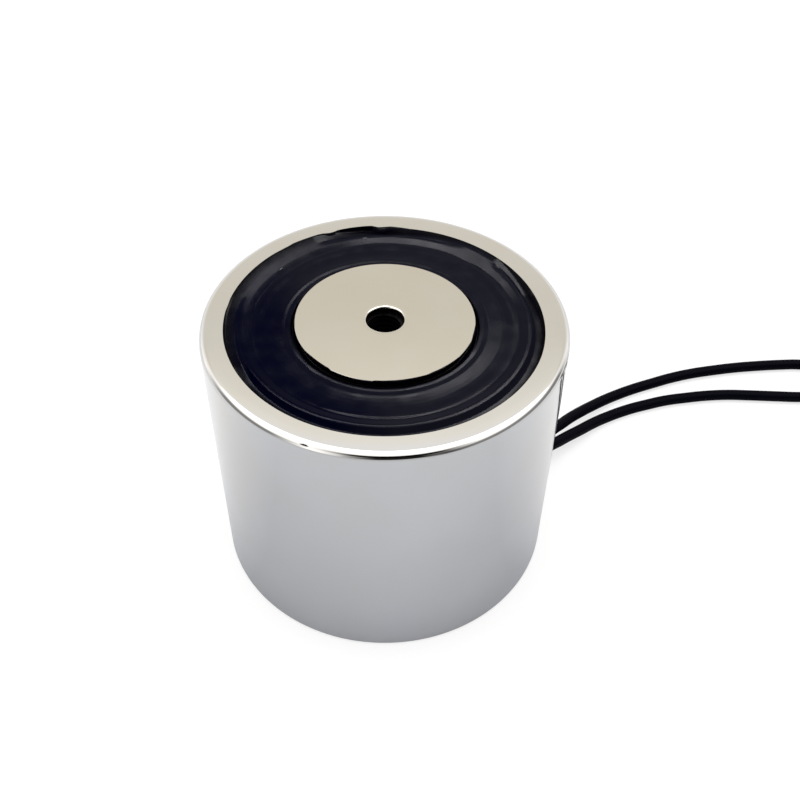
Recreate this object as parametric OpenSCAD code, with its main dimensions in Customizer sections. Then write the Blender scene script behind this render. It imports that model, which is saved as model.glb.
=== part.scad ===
// Holding electromagnet: a round steel pot with a centre pole, a bobbin coil potted in epoxy and two flying leads.
// Origin at the centre of the mounting face, +Z out of the pole face, leads leaving along +X.

/* [Housing cup] */
// Outer diameter of the cup
body_d = 60; // [56:0.5:80]
// Height from the mounting face to the pole face
body_h = 49; // [40:0.5:70]
// Thickness of the cup's wall, which is the width of the outer pole
wall_t = 4; // [3:0.1:5.5]
// Thickness of the cup's base
base_t = 5; // [3:0.1:8]
// Radius of the rounded outer edge at the pole face
rim_edge_r = 1.2; // [0.4:0.1:2]
// Radius of the rounded outer edge at the mounting face
base_edge_r = 0.5; // [0.2:0.1:1.5]
// Chamfer on the inner edge of the rim
rim_chamfer = 0.2; // [0.1:0.05:0.6]
// Diameter of the hole in the wall that both leads leave through
exit_d = 6; // [5.6:0.1:7]

/* [Pole core] */
// Diameter of the centre pole
core_d = 29.3; // [24:0.1:32]
// Diameter of the core's spigot, pressed into the base
spigot_d = 16; // [12:0.5:22]
// Tapping diameter of the fixing thread (5 for M6)
thread_tap_d = 5; // [4.2:0.1:6]
// Diameter of the relief at the mouth of the hole in the pole face
mouth_d = 6.2; // [6.1:0.1:9]
// Depth of that relief
mouth_depth = 1; // [0.6:0.1:3]
// Chamfer round the mouth in the pole face
mouth_chamfer = 0.3; // [0.2:0.05:0.5]
// Lead-in chamfer of the thread in the mounting face
thread_chamfer = 0.6; // [0.3:0.1:1]
// Chamfer on the edge of the pole face
core_chamfer = 0.2; // [0.1:0.05:0.6]

/* [Bobbin and winding] */
// Gap between the core and the bobbin's tube
bobbin_gap = 0.15; // [0.1:0.05:0.4]
// Wall of the bobbin's tube
tube_t = 1; // [0.8:0.1:1.6]
// Thickness of the bobbin's flanges
flange_t = 1.2; // [0.8:0.1:2]
// Gap between the flanges and the cup's wall
flange_gap = 0.5; // [0.3:0.1:1]
// Height of the bobbin's feet, which leave room for the splices
foot_h = 5; // [4.8:0.1:7]
// Width of one foot
foot_w = 4; // [2:0.5:6]
// Length of one foot along the radius
foot_len = 4; // [2:0.5:6]
// Number of feet
foot_count = 3; // [3:1:5]
// How far the flanges stand out past the taped winding
flange_lip = 1.4; // [1:0.1:2]
// Thickness of the tape over the winding
tape_t = 0.3; // [0.1:0.05:0.5]
// Diameter of the winding wire
wire_d = 0.5; // [0.3:0.05:0.7]
// Clearance of the winding wire in the bobbin's slots
wire_clearance = 0.3; // [0.2:0.05:0.5]

/* [Epoxy] */
// Thickness of the epoxy over the bobbin, measured under the groove at the pole
epoxy_cover = 0.6; // [0.4:0.1:2]
// Depth of the narrow groove beside the pole
pole_groove_depth = 1.75; // [1.5:0.05:2.5]
// Width of that groove
pole_groove_w = 1.05; // [0.8:0.05:1.5]
// Depth of the ring's inner edge below the pole face
ring_in_depth = 1.1; // [0.8:0.05:1.3]
// Depth of the ring's outer edge below the pole face
ring_out_depth = 0.6; // [0.4:0.05:0.9]
// Depth of the groove beside the rim
rim_groove_depth = 1.3; // [1:0.05:1.6]
// Width of that groove
rim_groove_w = 2.65; // [2:0.05:3.2]
// Rise of the epoxy where it wets the metal
wet_rise = 0.3; // [0.1:0.05:0.4]
// Diameter of the round ridges in the epoxy
ridge_d = 0.7; // [0.4:0.05:1]
// How far the ridges stand up
ridge_rise = 0.15; // [0.05:0.01:0.2]
// Distance of the two ridges of a pair
ridge_pitch = 1.2; // [1:0.05:1.6]
// Distance of the first ridge from the edge of the ring
ridge_inset = 0.35; // [0.3:0.05:0.5]
// How far the epoxy plug ends inside the mouth of the exit hole
plug_inset = 0.7; // [0.5:0.1:1.5]

/* [Leads] */
// Diameter over the insulation
lead_d = 2.3; // [1.8:0.05:2.4]
// Distance between the two leads in the exit hole
lead_pitch = 3.2; // [3.1:0.05:3.3]
// Diameter of the stranded conductor
conductor_d = 1; // [0.6:0.05:1.2]
// Stripped length at the free ends
tip_len = 7; // [4:0.5:10]
// Diameter of the soldered joints
splice_d = 1.3; // [1.2:0.05:1.6]
// Length of the soldered joints
splice_len = 2.5; // [1.5:0.1:3]
// Wall of the sleeves over the joints
sleeve_t = 0.3; // [0.2:0.05:0.35]
// Length of the sleeves
sleeve_len = 5.5; // [4.5:0.1:6]
// Clearance between a sleeve and its lead
sleeve_clearance = 0.05; // [0.02:0.01:0.08]
// Distance from the bobbin's tube to the sleeves
sleeve_inset = 1.7; // [1.2:0.1:2]
// How far a joint lies inside its sleeve
splice_inset = 1; // [0.5:0.1:1.4]

/* [Lead coil] */
// Radius of the coil at the middle of its turns
coil_r = 13.5; // [12:0.1:14]
// Distance between the two leads in the coil
coil_pitch = 2.4; // [2.4:0.05:2.8]
// Layers of leads in the coil
coil_layers = 2; // [2:1:3]
// Room around the leads inside the coil's outline
coil_room = 0.05; // [0.02:0.01:0.1]
// Thickness of the tie
tie_t = 0.5; // [0.3:0.1:0.8]
// Width of the tie
tie_w = 4; // [2:0.5:6]
// Clearance between the tie and the coil
tie_clearance = 0.05; // [0.02:0.01:0.2]
// Diameter of the tie's twisted ends
tie_twist_d = 1.4; // [1:0.1:2]
// Length of the tie's twisted ends
tie_twist_len = 9; // [5:0.5:14]

/* [Hidden] */
$fn = 96;

// Overshoot of cutting solids past the faces that they cut
cut = 1;

// Radii of the pot, from the outside in
body_r = body_d / 2;
channel_r = body_r - wall_t;
core_r = core_d / 2;
spigot_r = spigot_d / 2;
thread_r = thread_tap_d / 2;
mouth_r = mouth_d / 2;

// Bobbin and winding
tube_in_r = core_r + bobbin_gap;
tube_r = tube_in_r + tube_t;
flange_r = channel_r - flange_gap;
tape_r = flange_r - flange_lip;
winding_r = tape_r - tape_t;
bobbin_z = base_t + foot_h;
winding_z = bobbin_z + flange_t;
bobbin_top = body_h - pole_groove_depth - epoxy_cover;
winding_top = bobbin_top - flange_t;
foot_turn = 180 / foot_count;

// Leads, splices and sleeves under the bobbin
lead_r = lead_d / 2;
exit_z = base_t + exit_d / 2;
start_y = lead_pitch / 2;
finish_y = -start_y;
sleeve_x = tube_r + sleeve_inset;
splice_x = sleeve_x + splice_inset;
lead_x = splice_x + splice_len;
sleeve_r = lead_r + sleeve_clearance + sleeve_t;
plug_x = body_r - plug_inset;

// The winding's first wire leaves beside the tube, and its last one at the outside, clear of the sleeves
wire_inset = wire_d / 2 + wire_clearance;
slot_w = wire_d + 2 * wire_clearance;
start_x = sqrt(pow(tube_r + wire_inset, 2) - start_y * start_y);
finish_side = finish_y - sleeve_r - slot_w;
finish_x = sqrt(pow(winding_r - wire_inset, 2) - finish_side * finish_side);
finish_turn_x = sleeve_x - slot_w;
start_route = [[start_x, start_y, winding_z], [start_x, start_y, exit_z], [splice_x, start_y, exit_z]];
finish_route = [[finish_x, finish_side, winding_z], [finish_x, finish_side, exit_z],
    [finish_turn_x, finish_side, exit_z], [finish_turn_x, finish_y, exit_z], [splice_x, finish_y, exit_z]];

// Routes of the leads on the table: distance from the cup's wall, side and height of each point
start_lay = [[4.5, 1.5, 7.1], [9.2, 1.5, 5.4], [13.4, 3.4, 4.1], [17.6, 5, 3], [21.5, 6.3, 2.1], [25.3, 7.2, 1.5],
    [29.5, 7.7, 1.2], [33, 7.8, 1.15], [38, 7.6, 1.15], [43, 7.3, 1.15], [48, 6.6, 1.15], [53, 5.5, 1.15],
    [58, 4.2, 1.15], [63, 2.6, 1.15], [68, 0.8, 1.15], [72, -0.9, 1.15], [76.5, -3.8, 1.15],
    [80.3, -7.6, 1.2], [84.1, -11.4, 1.4], [88.4, -14.3, 1.6]];
finish_lay = [[3, -1.75, 7.2], [7.1, -2.1, 4.9], [11.2, -0.4, 3.5], [15.1, 1, 2.4], [19, 2.1, 1.7],
    [22.4, 2.7, 1.3], [28.5, 2.9, 1.15], [33, 2.5, 1.15], [37.5, 1.9, 1.15], [42, 0.8, 1.15], [46.5, -0.5, 1.15],
    [51, -2.2, 1.15], [55.5, -4.4, 1.15], [60, -6.7, 1.15], [65, -9.2, 1.15], [71.2, -11.6, 1.15],
    [77.6, -13.4, 1.2], [84, -15.3, 1.4], [90, -17.6, 1.6]];

// Coil of the leads: its centre, and the turns that lie on its top, in degrees
coil_centre = [body_r + 104, -8];
start_turn_r = coil_r - coil_pitch / 2;
finish_turn_r = coil_r + coil_pitch / 2;
coil_in_r = start_turn_r - lead_r - coil_room;
coil_out_r = finish_turn_r + lead_r + coil_room;
coil_h = coil_layers * lead_d;
coil_edge = lead_r / 2;
top_turn_z = tie_t + coil_h + coil_room + lead_r;
top_turn_start = 205;
start_turn_end = 333;
finish_turn_end = 272;
top_turn_step = 15;

// Sides of the swept leads
lead_sides = 8;

// Epoxy ring and its ridges
ring_in_r = core_r + pole_groove_w;
ring_out_r = channel_r - rim_groove_w;
ring_slope = (ring_in_depth - ring_out_depth) / (ring_out_r - ring_in_r);
ridge_sink = ridge_d / 2 - ridge_rise;
ridge_radii = [ring_in_r + ridge_inset, ring_in_r + ridge_inset + ridge_pitch,
    ring_out_r - ridge_inset - ridge_pitch, ring_out_r - ridge_inset];

function unit(v) = v / norm(v);

// Direction of a route at one of its points
function heading(route, i) =
    unit(route[min(i + 1, len(route) - 1)] - route[max(i - 1, 0)]);

// Points of a ring of the given radius around one point of a route
function ring(route, i, r) =
    let (along = heading(route, i), side = unit(cross([0, 0, 1], along)), up = cross(along, side))
    [for (k = [0 : lead_sides - 1])
        let (a = (k + 0.5) * 360 / lead_sides)
        route[i] + r * (cos(a) * side + sin(a) * up)];

function ring_band(i) =
    [for (k = [0 : lead_sides - 1])
        let (n = (k + 1) % lead_sides)
        [i * lead_sides + k, (i + 1) * lead_sides + k, (i + 1) * lead_sides + n, i * lead_sides + n]];

// A round tube along a route, closed at both ends
module swept_tube(route, r) {
    last = len(route) - 1;
    points = [for (i = [0 : last]) each ring(route, i, r)];
    walls = [for (i = [0 : last - 1]) each ring_band(i)];
    first_cap = [for (k = [0 : lead_sides - 1]) k];
    last_cap = [for (k = [lead_sides - 1 : -1 : 0]) last * lead_sides + k];
    polyhedron(points, concat(walls, [first_cap, last_cap]));
}

// A bent wire of straight stretches with round corners
module bent_wire(route, d) {
    for (i = [0 : len(route) - 2]) {
        step = route[i + 1] - route[i];
        flat = norm([step.x, step.y]);
        translate(route[i])
            rotate([0, atan2(flat, step.z), atan2(step.y, step.x)])
            cylinder(d = d, h = norm(step));
    }
    for (i = [1 : len(route) - 2])
        translate(route[i]) sphere(d = d);
}

// A cylinder along +X between two places
module rod_x(x0, x1, y, r) {
    translate([x0, y, exit_z]) rotate([0, 90, 0]) cylinder(r = r, h = x1 - x0);
}

// What rounding takes off a convex corner at the origin, with the solid below and to the left
module corner_cut(r) {
    translate([-r, -r]) difference() {
        square(r + cut);
        circle(r);
    }
}

// Points of the last turn of a lead, on top of the coil
function top_turn(r, last_a) =
    [for (a = [top_turn_start : top_turn_step : last_a - top_turn_step / 2])
        [coil_centre.x + r * cos(a), coil_centre.y + r * sin(a), top_turn_z],
     [coil_centre.x + r * cos(last_a), coil_centre.y + r * sin(last_a), top_turn_z]];

// A lead: from its splice out through the wall and along the table to the coil
module lead(y, lay) {
    inside = [[lead_x, y, exit_z], [(lead_x + body_r) / 2, y, exit_z], [body_r, y, exit_z]];
    outside = [for (p = lay) [p.x + body_r, p.y, p.z]];
    swept_tube(concat(inside, outside), lead_r);
}

// The bare conductor that carries on from the end of a lead
module lead_tip(turn_r, turn_end) {
    route = top_turn(turn_r, turn_end);
    last = len(route) - 1;
    along = heading(route, last);
    translate(route[last])
        rotate([0, 90, atan2(along.y, along.x)])
        cylinder(d = conductor_d, h = tip_len);
}

module sleeve(y) {
    difference() {
        rod_x(sleeve_x, sleeve_x + sleeve_len, y, sleeve_r);
        rod_x(sleeve_x - cut, sleeve_x + sleeve_len + cut, y, lead_r + sleeve_clearance);
    }
}

module bobbin_feet() {
    for (i = [0 : foot_count - 1])
        rotate(foot_turn + i * 360 / foot_count)
        translate([tube_in_r, -foot_w / 2, base_t])
        cube([foot_len, foot_w, foot_h + flange_t / 2]);
}

module housing_cup() color([0.78, 0.77, 0.74]) {
    difference() {
        rotate_extrude() difference() {
            square([body_r, body_h]);
            translate([-cut, base_t]) square([channel_r + cut, body_h]);
            translate([-cut, -cut]) square([spigot_r + cut, body_h]);
            translate([body_r, body_h]) corner_cut(rim_edge_r);
            translate([body_r, 0]) mirror([0, 1]) corner_cut(base_edge_r);
            polygon([[channel_r, body_h + cut], [channel_r, body_h - rim_chamfer],
                [channel_r + rim_chamfer, body_h], [channel_r + rim_chamfer, body_h + cut]]);
        }
        rod_x(channel_r - wall_t, body_r + cut, 0, exit_d / 2);
    }
}

module pole_core() color([0.8, 0.78, 0.73]) {
    rotate_extrude() polygon([
        [thread_r + thread_chamfer, 0], [spigot_r, 0], [spigot_r, base_t], [core_r, base_t],
        [core_r, body_h - core_chamfer], [core_r - core_chamfer, body_h],
        [mouth_r + mouth_chamfer, body_h], [mouth_r, body_h - mouth_chamfer],
        [mouth_r, body_h - mouth_depth], [thread_r, body_h - mouth_depth], [thread_r, thread_chamfer]]);
}

module bobbin() color([0.9, 0.88, 0.8]) {
    difference() {
        union() {
            rotate_extrude() polygon([
                [tube_in_r, bobbin_z], [flange_r, bobbin_z], [flange_r, winding_z], [tube_r, winding_z],
                [tube_r, winding_top], [flange_r, winding_top], [flange_r, bobbin_top],
                [tube_in_r, bobbin_top]]);
            bobbin_feet();
        }
        translate([tube_r, start_y - slot_w / 2, bobbin_z - cut])
            cube([slot_w, slot_w, flange_t + cut]);
        translate([finish_x - slot_w / 2, finish_side - slot_w / 2, bobbin_z - cut])
            cube([flange_r, slot_w, flange_t + cut]);
    }
}

module coil_winding() color([0.72, 0.4, 0.2]) {
    rotate_extrude()
        translate([tube_r, winding_z]) square([winding_r - tube_r, winding_top - winding_z]);
}

module coil_tape() color([0.85, 0.65, 0.2]) {
    rotate_extrude()
        translate([winding_r, winding_z]) square([tape_t, winding_top - winding_z]);
}

module start_tail() color([0.7, 0.35, 0.18]) {
    bent_wire(start_route, wire_d);
}

module finish_tail() color([0.7, 0.35, 0.18]) {
    bent_wire(finish_route, wire_d);
}

module start_splice() color([0.75, 0.75, 0.76]) {
    rod_x(splice_x, lead_x, start_y, splice_d / 2);
}

module finish_splice() color([0.75, 0.75, 0.76]) {
    rod_x(splice_x, lead_x, finish_y, splice_d / 2);
}

module start_sleeve() color([0.85, 0.83, 0.75]) {
    sleeve(start_y);
}

module finish_sleeve() color([0.85, 0.83, 0.75]) {
    sleeve(finish_y);
}

module epoxy_potting() color([0.03, 0.03, 0.045]) {
    difference() {
        union() {
            rotate_extrude() polygon([
                [core_r, base_t], [channel_r, base_t],
                [channel_r, body_h - rim_groove_depth + wet_rise],
                [channel_r - wet_rise, body_h - rim_groove_depth],
                [ring_out_r + ridge_d, body_h - rim_groove_depth],
                [ring_out_r, body_h - ring_out_depth],
                [ring_in_r, body_h - ring_in_depth],
                [ring_in_r - ridge_d / 2, body_h - pole_groove_depth],
                [core_r + wet_rise, body_h - pole_groove_depth],
                [core_r, body_h - pole_groove_depth + wet_rise]]);
            for (r = ridge_radii)
                rotate_extrude()
                translate([r, body_h - ring_in_depth + ring_slope * (r - ring_in_r) - ridge_sink])
                circle(d = ridge_d);
            rod_x(channel_r - wall_t, plug_x, 0, exit_d / 2);
        }
        rotate_extrude() polygon([
            [0, bobbin_z], [flange_r, bobbin_z], [flange_r, winding_z], [tape_r, winding_z],
            [tape_r, winding_top], [flange_r, winding_top], [flange_r, bobbin_top], [0, bobbin_top]]);
        bobbin_feet();
        bent_wire(start_route, wire_d);
        bent_wire(finish_route, wire_d);
        for (y = [start_y, finish_y]) {
            rod_x(sleeve_x, sleeve_x + sleeve_len, y, sleeve_r);
            rod_x(sleeve_x, body_r, y, lead_r);
        }
    }
}

module start_lead() color([0.04, 0.04, 0.055]) {
    lead(start_y, start_lay);
}

module finish_lead() color([0.04, 0.04, 0.055]) {
    lead(finish_y, finish_lay);
}

module start_lead_end() color([0.04, 0.04, 0.055]) {
    swept_tube(top_turn(start_turn_r, start_turn_end), lead_r);
}

module finish_lead_end() color([0.04, 0.04, 0.055]) {
    swept_tube(top_turn(finish_turn_r, finish_turn_end), lead_r);
}

module start_lead_tip() color([0.75, 0.75, 0.76]) {
    lead_tip(start_turn_r, start_turn_end);
}

module finish_lead_tip() color([0.75, 0.75, 0.76]) {
    lead_tip(finish_turn_r, finish_turn_end);
}

module lead_coil() color([0.05, 0.05, 0.065]) {
    translate([coil_centre.x, coil_centre.y, tie_t])
        rotate_extrude() polygon([
            [coil_in_r + coil_edge, 0], [coil_out_r - coil_edge, 0], [coil_out_r, coil_edge],
            [coil_out_r, coil_h - coil_edge], [coil_out_r - coil_edge, coil_h],
            [coil_in_r + coil_edge, coil_h], [coil_in_r, coil_h - coil_edge], [coil_in_r, coil_edge]]);
}

// A flat band round the coil's section, with its twisted ends lying on the table
module lead_tie() color([0.06, 0.06, 0.06]) {
    inner_y = sqrt(coil_in_r * coil_in_r - tie_w * tie_w / 4) - tie_clearance;
    outer_y = coil_out_r + tie_clearance;
    top_z = tie_t + coil_h + tie_clearance;
    translate([coil_centre.x, coil_centre.y, 0]) {
        difference() {
            translate([-tie_w / 2, inner_y - tie_t, 0])
                cube([tie_w, outer_y - inner_y + 2 * tie_t, top_z + tie_t]);
            translate([-tie_w / 2 - cut, inner_y, tie_t])
                cube([tie_w + 2 * cut, outer_y - inner_y, top_z - tie_t]);
        }
        translate([0, outer_y + tie_t / 2, tie_twist_d / 2])
            rotate([-90, 0, 0])
            cylinder(d = tie_twist_d, h = tie_twist_len);
    }
}

housing_cup();
pole_core();
bobbin();
coil_winding();
coil_tape();
start_tail();
finish_tail();
start_splice();
finish_splice();
start_sleeve();
finish_sleeve();
epoxy_potting();
start_lead();
finish_lead();
start_lead_end();
finish_lead_end();
start_lead_tip();
finish_lead_tip();
lead_coil();
lead_tie();
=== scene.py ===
from math import atan2, cos, degrees, hypot, pi, radians, sin

import bmesh
import bpy
from mathutils import Matrix, Vector, noise


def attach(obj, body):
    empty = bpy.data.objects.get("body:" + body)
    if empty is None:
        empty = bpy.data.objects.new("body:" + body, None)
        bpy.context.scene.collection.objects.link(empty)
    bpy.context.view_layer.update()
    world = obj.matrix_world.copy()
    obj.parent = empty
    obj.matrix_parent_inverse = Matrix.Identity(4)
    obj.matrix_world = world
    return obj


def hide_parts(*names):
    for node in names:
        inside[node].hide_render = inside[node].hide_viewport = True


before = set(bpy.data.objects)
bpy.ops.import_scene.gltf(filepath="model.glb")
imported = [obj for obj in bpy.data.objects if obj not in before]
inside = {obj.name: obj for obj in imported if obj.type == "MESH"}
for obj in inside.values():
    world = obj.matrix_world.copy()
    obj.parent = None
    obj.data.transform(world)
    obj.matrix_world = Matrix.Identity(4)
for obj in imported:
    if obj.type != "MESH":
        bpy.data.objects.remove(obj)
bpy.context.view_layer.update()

mm = 0.001
scene = bpy.context.scene
scene.view_settings.view_transform = "Standard"


# Camera: a normal lens from the front left, looking down on the pole face
view = {
    "place": (-50.37, -113.14, 153.84),   # mm
    "turn": (45.114, -0.557, -24.642),    # degrees
    "lens": 44.925,
    "sensor": 36,
    "clip": 0.01,                         # m
}


def placeCamera():
    data = bpy.data.cameras.new("photo_camera")
    data.lens = view["lens"]
    data.sensor_width = view["sensor"]
    data.clip_start = view["clip"]
    camera = bpy.data.objects.new("photo_camera", data)
    camera.location = Vector(view["place"]) * mm
    camera.rotation_euler = [radians(a) for a in view["turn"]]
    scene.collection.objects.link(camera)
    scene.camera = camera


placeCamera()
print("camera placed")


# Shared helpers for meshes
meshing = {
    "merge": 0.0005 * mm,   # vertices nearer than this are one
    "ring": 0.002 * mm,     # and this near to a ring they are on it
    "sharp": 28,            # degrees past which an edge shows
    "rodSides": 64,
    "past": 0.01,           # how far a place may lie past a list's last one
}


def shade(mesh, sharp):
    mesh.shade_smooth()
    mesh.set_sharp_from_angle(angle=radians(sharp))


def finishMesh(bm, name, sharp=meshing["sharp"]):
    bmesh.ops.remove_doubles(bm, verts=bm.verts, dist=meshing["merge"])
    bmesh.ops.recalc_face_normals(bm, faces=bm.faces)
    mesh = bpy.data.meshes.new(name)
    bm.to_mesh(mesh)
    bm.free()
    shade(mesh, sharp)
    piece = bpy.data.objects.new(name, mesh)
    scene.collection.objects.link(piece)
    return piece


def turnOutline(bm, outline, steps, closed=True):
    verts = [bm.verts.new((r * mm, 0, z * mm)) for r, z in outline]
    pairs = list(zip(verts, verts[1:]))
    if closed:
        pairs.append((verts[-1], verts[0]))
    edges = [bm.edges.new(pair) for pair in pairs]
    bmesh.ops.spin(bm, geom=verts + edges, cent=(0, 0, 0), axis=(0, 0, 1), dvec=(0, 0, 0),
                   angle=2 * pi, steps=steps, use_merge=True)
    bmesh.ops.remove_doubles(bm, verts=bm.verts, dist=meshing["merge"])


def ringEdges(bm, r, z):
    def onRing(v):
        return max(abs(hypot(v.co.x, v.co.y) - r * mm), abs(v.co.z - z * mm)) < meshing["ring"]
    return [e for e in bm.edges if onRing(e.verts[0]) and onRing(e.verts[1])]


def roundRing(bm, r, z, offset, segments):
    bmesh.ops.bevel(bm, geom=ringEdges(bm, r, z), offset=offset * mm, offset_type="OFFSET",
                    segments=segments, profile=0.5, affect="EDGES", clamp_overlap=True, material=-1)


def crossRod(radius, start, end, z):
    bm = bmesh.new()
    middle = Matrix.Translation(((start + end) / 2 * mm, 0, z * mm))
    bmesh.ops.create_cone(bm, cap_ends=True, segments=meshing["rodSides"], radius1=radius * mm,
                          radius2=radius * mm, depth=(end - start) * mm,
                          matrix=middle @ Matrix.Rotation(pi / 2, 4, "Y"))
    return bm


def cutWith(piece, cutter, operation="DIFFERENCE"):
    boolean = piece.modifiers.new("cut", "BOOLEAN")
    boolean.object = cutter
    boolean.operation = operation
    boolean.solver = "EXACT"
    result = bpy.data.meshes.new_from_object(piece.evaluated_get(bpy.context.evaluated_depsgraph_get()))
    piece.modifiers.clear()
    old = piece.data
    piece.data = result
    bpy.data.meshes.remove(old)
    bpy.data.objects.remove(cutter)
    result.name = piece.name


# The value at one place of a list of places and values
def between(stops, at):
    (a, x), (b, y) = next(pair for pair in zip(stops, stops[1:]) if at <= pair[1][0] + meshing["past"])
    return x + (y - x) * (at - a) / (b - a)


def place(piece, slotName, *nodes):
    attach(piece, "root")
    if nodes:
        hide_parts(*nodes)


# Leads: two PVC wires out of the wall, down onto the table and into a tied coil past the picture's edge
leads = {
    "d": 2.3,
    "length": 0.3,          # m, over all
    "wall": 30,             # the routes' x counts from the cup's wall
    "inside": [-9, -4.5],
    "exitZ": 8,
    "startY": 1.6,
    "finishY": -1.6,
    "startLay": [
        (2.4, 1.5, 7), (6.4, 1.15, 5.3), (10.3, 2.4, 4.35), (14.1, 4, 3.5), (17.6, 5.2, 2.8),
        (21.5, 6.3, 2.1), (25.3, 7.2, 1.5), (29.5, 7.7, 1.2), (33, 7.8, 1.15), (38, 7.6, 1.15),
        (43, 7.3, 1.15), (48, 6.6, 1.15), (53, 5.5, 1.15), (58, 4.2, 1.15), (63, 2.6, 1.15),
        (68, 0.8, 1.15), (72, -0.9, 1.15), (76.5, -3.8, 1.15), (80.3, -7.6, 1.2), (84.1, -11.4, 1.4),
        (88.4, -14.3, 1.6)],
    "finishLay": [
        (1.4, -1.75, 6.9), (4.6, -2, 4.9), (7.5, -1.3, 4.1), (11.4, 0, 3.1), (15.1, 1, 2.4),
        (19, 2.1, 1.7), (22.4, 2.7, 1.3), (28.5, 2.9, 1.15), (33, 2.5, 1.15), (37.5, 1.9, 1.15),
        (42, 0.8, 1.15), (46.5, -0.5, 1.15), (51, -2.2, 1.15), (55.5, -4.4, 1.15), (60, -6.7, 1.15),
        (65, -9.2, 1.15), (71.2, -11.6, 1.15), (77.6, -13.4, 1.2), (84, -15.3, 1.4), (90, -17.6, 1.6)],
    "coilCentre": (134, -8),
    "coilEntry": -115,      # degrees
    "startR": 12.3,
    "finishR": 14.7,
    "layers": (1.65, 3.95, 6.3),
    "climbs": ((0.62, 0.88), (1.62, 1.88)),   # turns at which the leads step up a layer
    "startTurns": 2.2444,
    "finishTurns": 2.075,
    "pointsPerTurn": 18,
    "alongSteps": 6, "roundSteps": 5,         # of the tube between two points and round it
    "sharp": 50,
    "tipLength": 7,
}


def coilHeight(turns):
    z = leads["layers"][0]
    for (low, high), a, b in zip(leads["climbs"], leads["layers"], leads["layers"][1:]):
        if turns > low:
            t = min((turns - low) / (high - low), 1)
            z = a + (b - a) * t * t * (3 - 2 * t)
    return z


def coilPoint(radius, turns):
    a = radians(leads["coilEntry"] + 360 * turns)
    x, y = leads["coilCentre"]
    return Vector((x + radius * cos(a), y + radius * sin(a), coilHeight(turns)))


def leadRoute(y, lay, radius, turns):
    points = [Vector((leads["wall"] + x, y, leads["exitZ"])) for x in leads["inside"]]
    points += [Vector((leads["wall"] + x, side, z)) for x, side, z in lay]
    count = round(turns * leads["pointsPerTurn"])
    points += [coilPoint(radius, turns * i / count) for i in range(count + 1)]
    return [p * mm for p in points]


def makeLead(name, route):
    curve = bpy.data.curves.new(name, "CURVE")
    curve.dimensions = "3D"
    curve.resolution_u = leads["alongSteps"]
    spline = curve.splines.new("BEZIER")
    spline.bezier_points.add(len(route) - 1)
    for point, co in zip(spline.bezier_points, route):
        point.co = co
        point.handle_left_type = "AUTO"
        point.handle_right_type = "AUTO"
    line = bpy.data.objects.new(name, curve)
    centre = [v.co.copy() for v in bpy.data.meshes.new_from_object(line).vertices]
    curve.bevel_depth = leads["d"] / 2 * mm
    curve.bevel_resolution = leads["roundSteps"]
    curve.use_fill_caps = True
    mesh = bpy.data.meshes.new_from_object(line)
    bpy.data.objects.remove(line)
    mesh.name = name
    shade(mesh, leads["sharp"])
    lead = bpy.data.objects.new(name, mesh)
    scene.collection.objects.link(lead)
    return lead, centre


startLead, startCentre = makeLead("start_lead_wire", leadRoute(
    leads["startY"], leads["startLay"], leads["startR"], leads["startTurns"]))
finishLead, finishCentre = makeLead("finish_lead_wire", leadRoute(
    leads["finishY"], leads["finishLay"], leads["finishR"], leads["finishTurns"]))
place(startLead, "black_pvc", "start_lead", "start_lead_end", "lead_coil")
place(finishLead, "black_pvc", "finish_lead", "finish_lead_end", "lead_coil")
print("leads laid")


# Bare tips: seven tinned strands with a gentle twist
tip = {
    "strandD": 0.33,
    "lay": 9,           # mm for one full twist
    "sides": 8,
    "steps": 20,
    "back": 0.001,      # turns, to the point that the tip's direction is taken from
    "sharp": 50,
}


def makeTip(name, radius, turns):
    bm = bmesh.new()
    edges = []
    d = tip["strandD"]
    around = [(d * cos(i * pi / 3), d * sin(i * pi / 3)) for i in range(6)]
    for x, y in [(0, 0)] + around:
        made = bmesh.ops.create_circle(bm, segments=tip["sides"], radius=d / 2 * mm,
                                       matrix=Matrix.Translation((x * mm, y * mm, 0)))
        edges += list({e for v in made["verts"] for e in v.link_edges})
    length = leads["tipLength"]
    bmesh.ops.spin(bm, geom=list(bm.verts) + edges, cent=(0, 0, 0), axis=(0, 0, 1),
                   dvec=(0, 0, length / tip["steps"] * mm), angle=2 * pi * length / tip["lay"],
                   steps=tip["steps"])
    bmesh.ops.holes_fill(bm, edges=[e for e in bm.edges if e.is_boundary])
    end = coilPoint(radius, turns)
    along = (end - coilPoint(radius, turns - tip["back"])).normalized()
    aim = along.to_track_quat("Z", "Y").to_matrix().to_4x4()
    bmesh.ops.transform(bm, verts=bm.verts, matrix=Matrix.Translation(end * mm) @ aim)
    return finishMesh(bm, name, tip["sharp"])


startTip = makeTip("start_tip_strands", leads["startR"], leads["startTurns"])
finishTip = makeTip("finish_tip_strands", leads["finishR"], leads["finishTurns"])
place(startTip, "tinned_copper", "start_lead_tip")
place(finishTip, "tinned_copper", "finish_lead_tip")


# Twist tie: a flat coated strip round the coil, its two ends twisted together
tie = {
    "w": 4,
    "t": 0.5,
    "corner": 1.0, "cornerSteps": 6,
    "innerY": 10.83,      # inside of the strip, from the coil's centre
    "outerY": 15.95,
    "topZ": 5.15,
    "twistD": 1.4,
    "twistLength": 9,
    "twistTurns": 4,
    "sides": 14, "steps": 72,
    "sharp": 40,
}


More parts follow.
